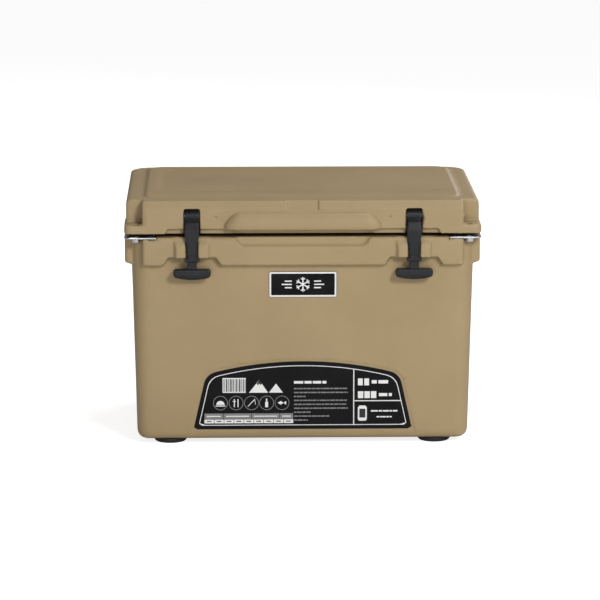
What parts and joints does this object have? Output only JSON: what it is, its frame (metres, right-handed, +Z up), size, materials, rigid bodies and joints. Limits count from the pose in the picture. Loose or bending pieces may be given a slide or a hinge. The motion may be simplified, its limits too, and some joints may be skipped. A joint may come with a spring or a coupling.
{
  "type": "cooler chest",
  "caption": "Hard-sided insulated cooler chest with a rear-hinged lid, rubber T latches, lock plates, rubber feet and a side drain plug.",
  "frame": {"origin": "on the floor under the feet, at the middle of the whole chest's box", "axes": "+X across the front towards its right-hand side seen from the front, +Y from the front to the rear hinge, +Z up"},
  "size_m": [0.56, 0.419, 0.3955],
  "materials": {
    "sand_shell": "rotationally moulded polyethylene in sand, satin with a faint orange peel",
    "foam": "cream polyurethane foam, sealed inside the shells",
    "black_plastic": "matt black injection-moulded plastic",
    "foot_rubber": "matt black rubber",
    "latch_rubber": "satin charcoal moulded rubber",
    "gasket_rubber": "matt dark grey soft rubber",
    "stainless": "brushed stainless steel",
    "nylon": "natural nylon",
    "badge_film": "black badge with a white border, no lettering",
    "label_film": "black printed film with white lines and plain pictograms, no lettering"
  },
  "bodies": {
    "chest": {"body_shell": "sand_shell", "body_foam": "foam", "body_fill_plugs": "black_plastic", "foot_front_left": "foot_rubber", "foot_front_right": "foot_rubber", "foot_rear_left": "foot_rubber", "foot_rear_right": "foot_rubber", "foot_screws": "stainless", "lock_plate_left": "stainless", "lock_plate_right": "stainless", "lock_plate_screws": "stainless", "front_badge": "badge_film", "front_label": "label_film", "drain_bushing": "black_plastic", "drain_washer": "gasket_rubber", "drain_nut": "black_plastic", "hinge_pin_left": "stainless", "hinge_pin_right": "stainless", "hinge_clips": "stainless"},
    "lid": {"lid_shell": "sand_shell", "lid_foam": "foam", "lid_fill_plugs": "black_plastic", "lid_gasket": "gasket_rubber", "latch_pin_left": "stainless", "latch_pin_right": "stainless", "hinge_bushes": "nylon"},
    "latch_left": {"latch_left": "latch_rubber"},
    "latch_right": {"latch_right": "latch_rubber"},
    "drain_seal": {"drain_seal": "gasket_rubber"},
    "drain_plug": {"drain_plug": "black_plastic"}
  },
  "joints": [
    {"name": "lid_hinge", "type": "hinge", "parent": "chest", "child": "lid", "pos_m": [0, 0.1995, 0.3385], "axis": [-1, 0, 0], "range_deg": [0, 100]},
    {"name": "latch_left_swing", "type": "hinge", "parent": "lid", "child": "latch_left", "pos_m": [-0.174, -0.1885, 0.3695], "axis": [-1, 0, 0], "range_deg": [0, 95]},
    {"name": "latch_right_swing", "type": "hinge", "parent": "lid", "child": "latch_right", "pos_m": [0.174, -0.1885, 0.3695], "axis": [-1, 0, 0], "range_deg": [0, 95]},
    {"name": "drain_plug_travel", "type": "slide", "parent": "chest", "child": "drain_seal", "axis": [1, 0, 0], "range_m": [0, 0.012]},
    {"name": "drain_plug_turn", "type": "hinge", "parent": "drain_seal", "child": "drain_plug", "pos_m": [0.25, 0.0955, 0.072], "axis": [1, 0, 0], "range_deg": [0, 1441]}
  ],
  "couplings": [
    {"joint": "drain_plug_turn", "follows": "drain_plug_travel", "rad_per_m": 2094.4}
  ]
}
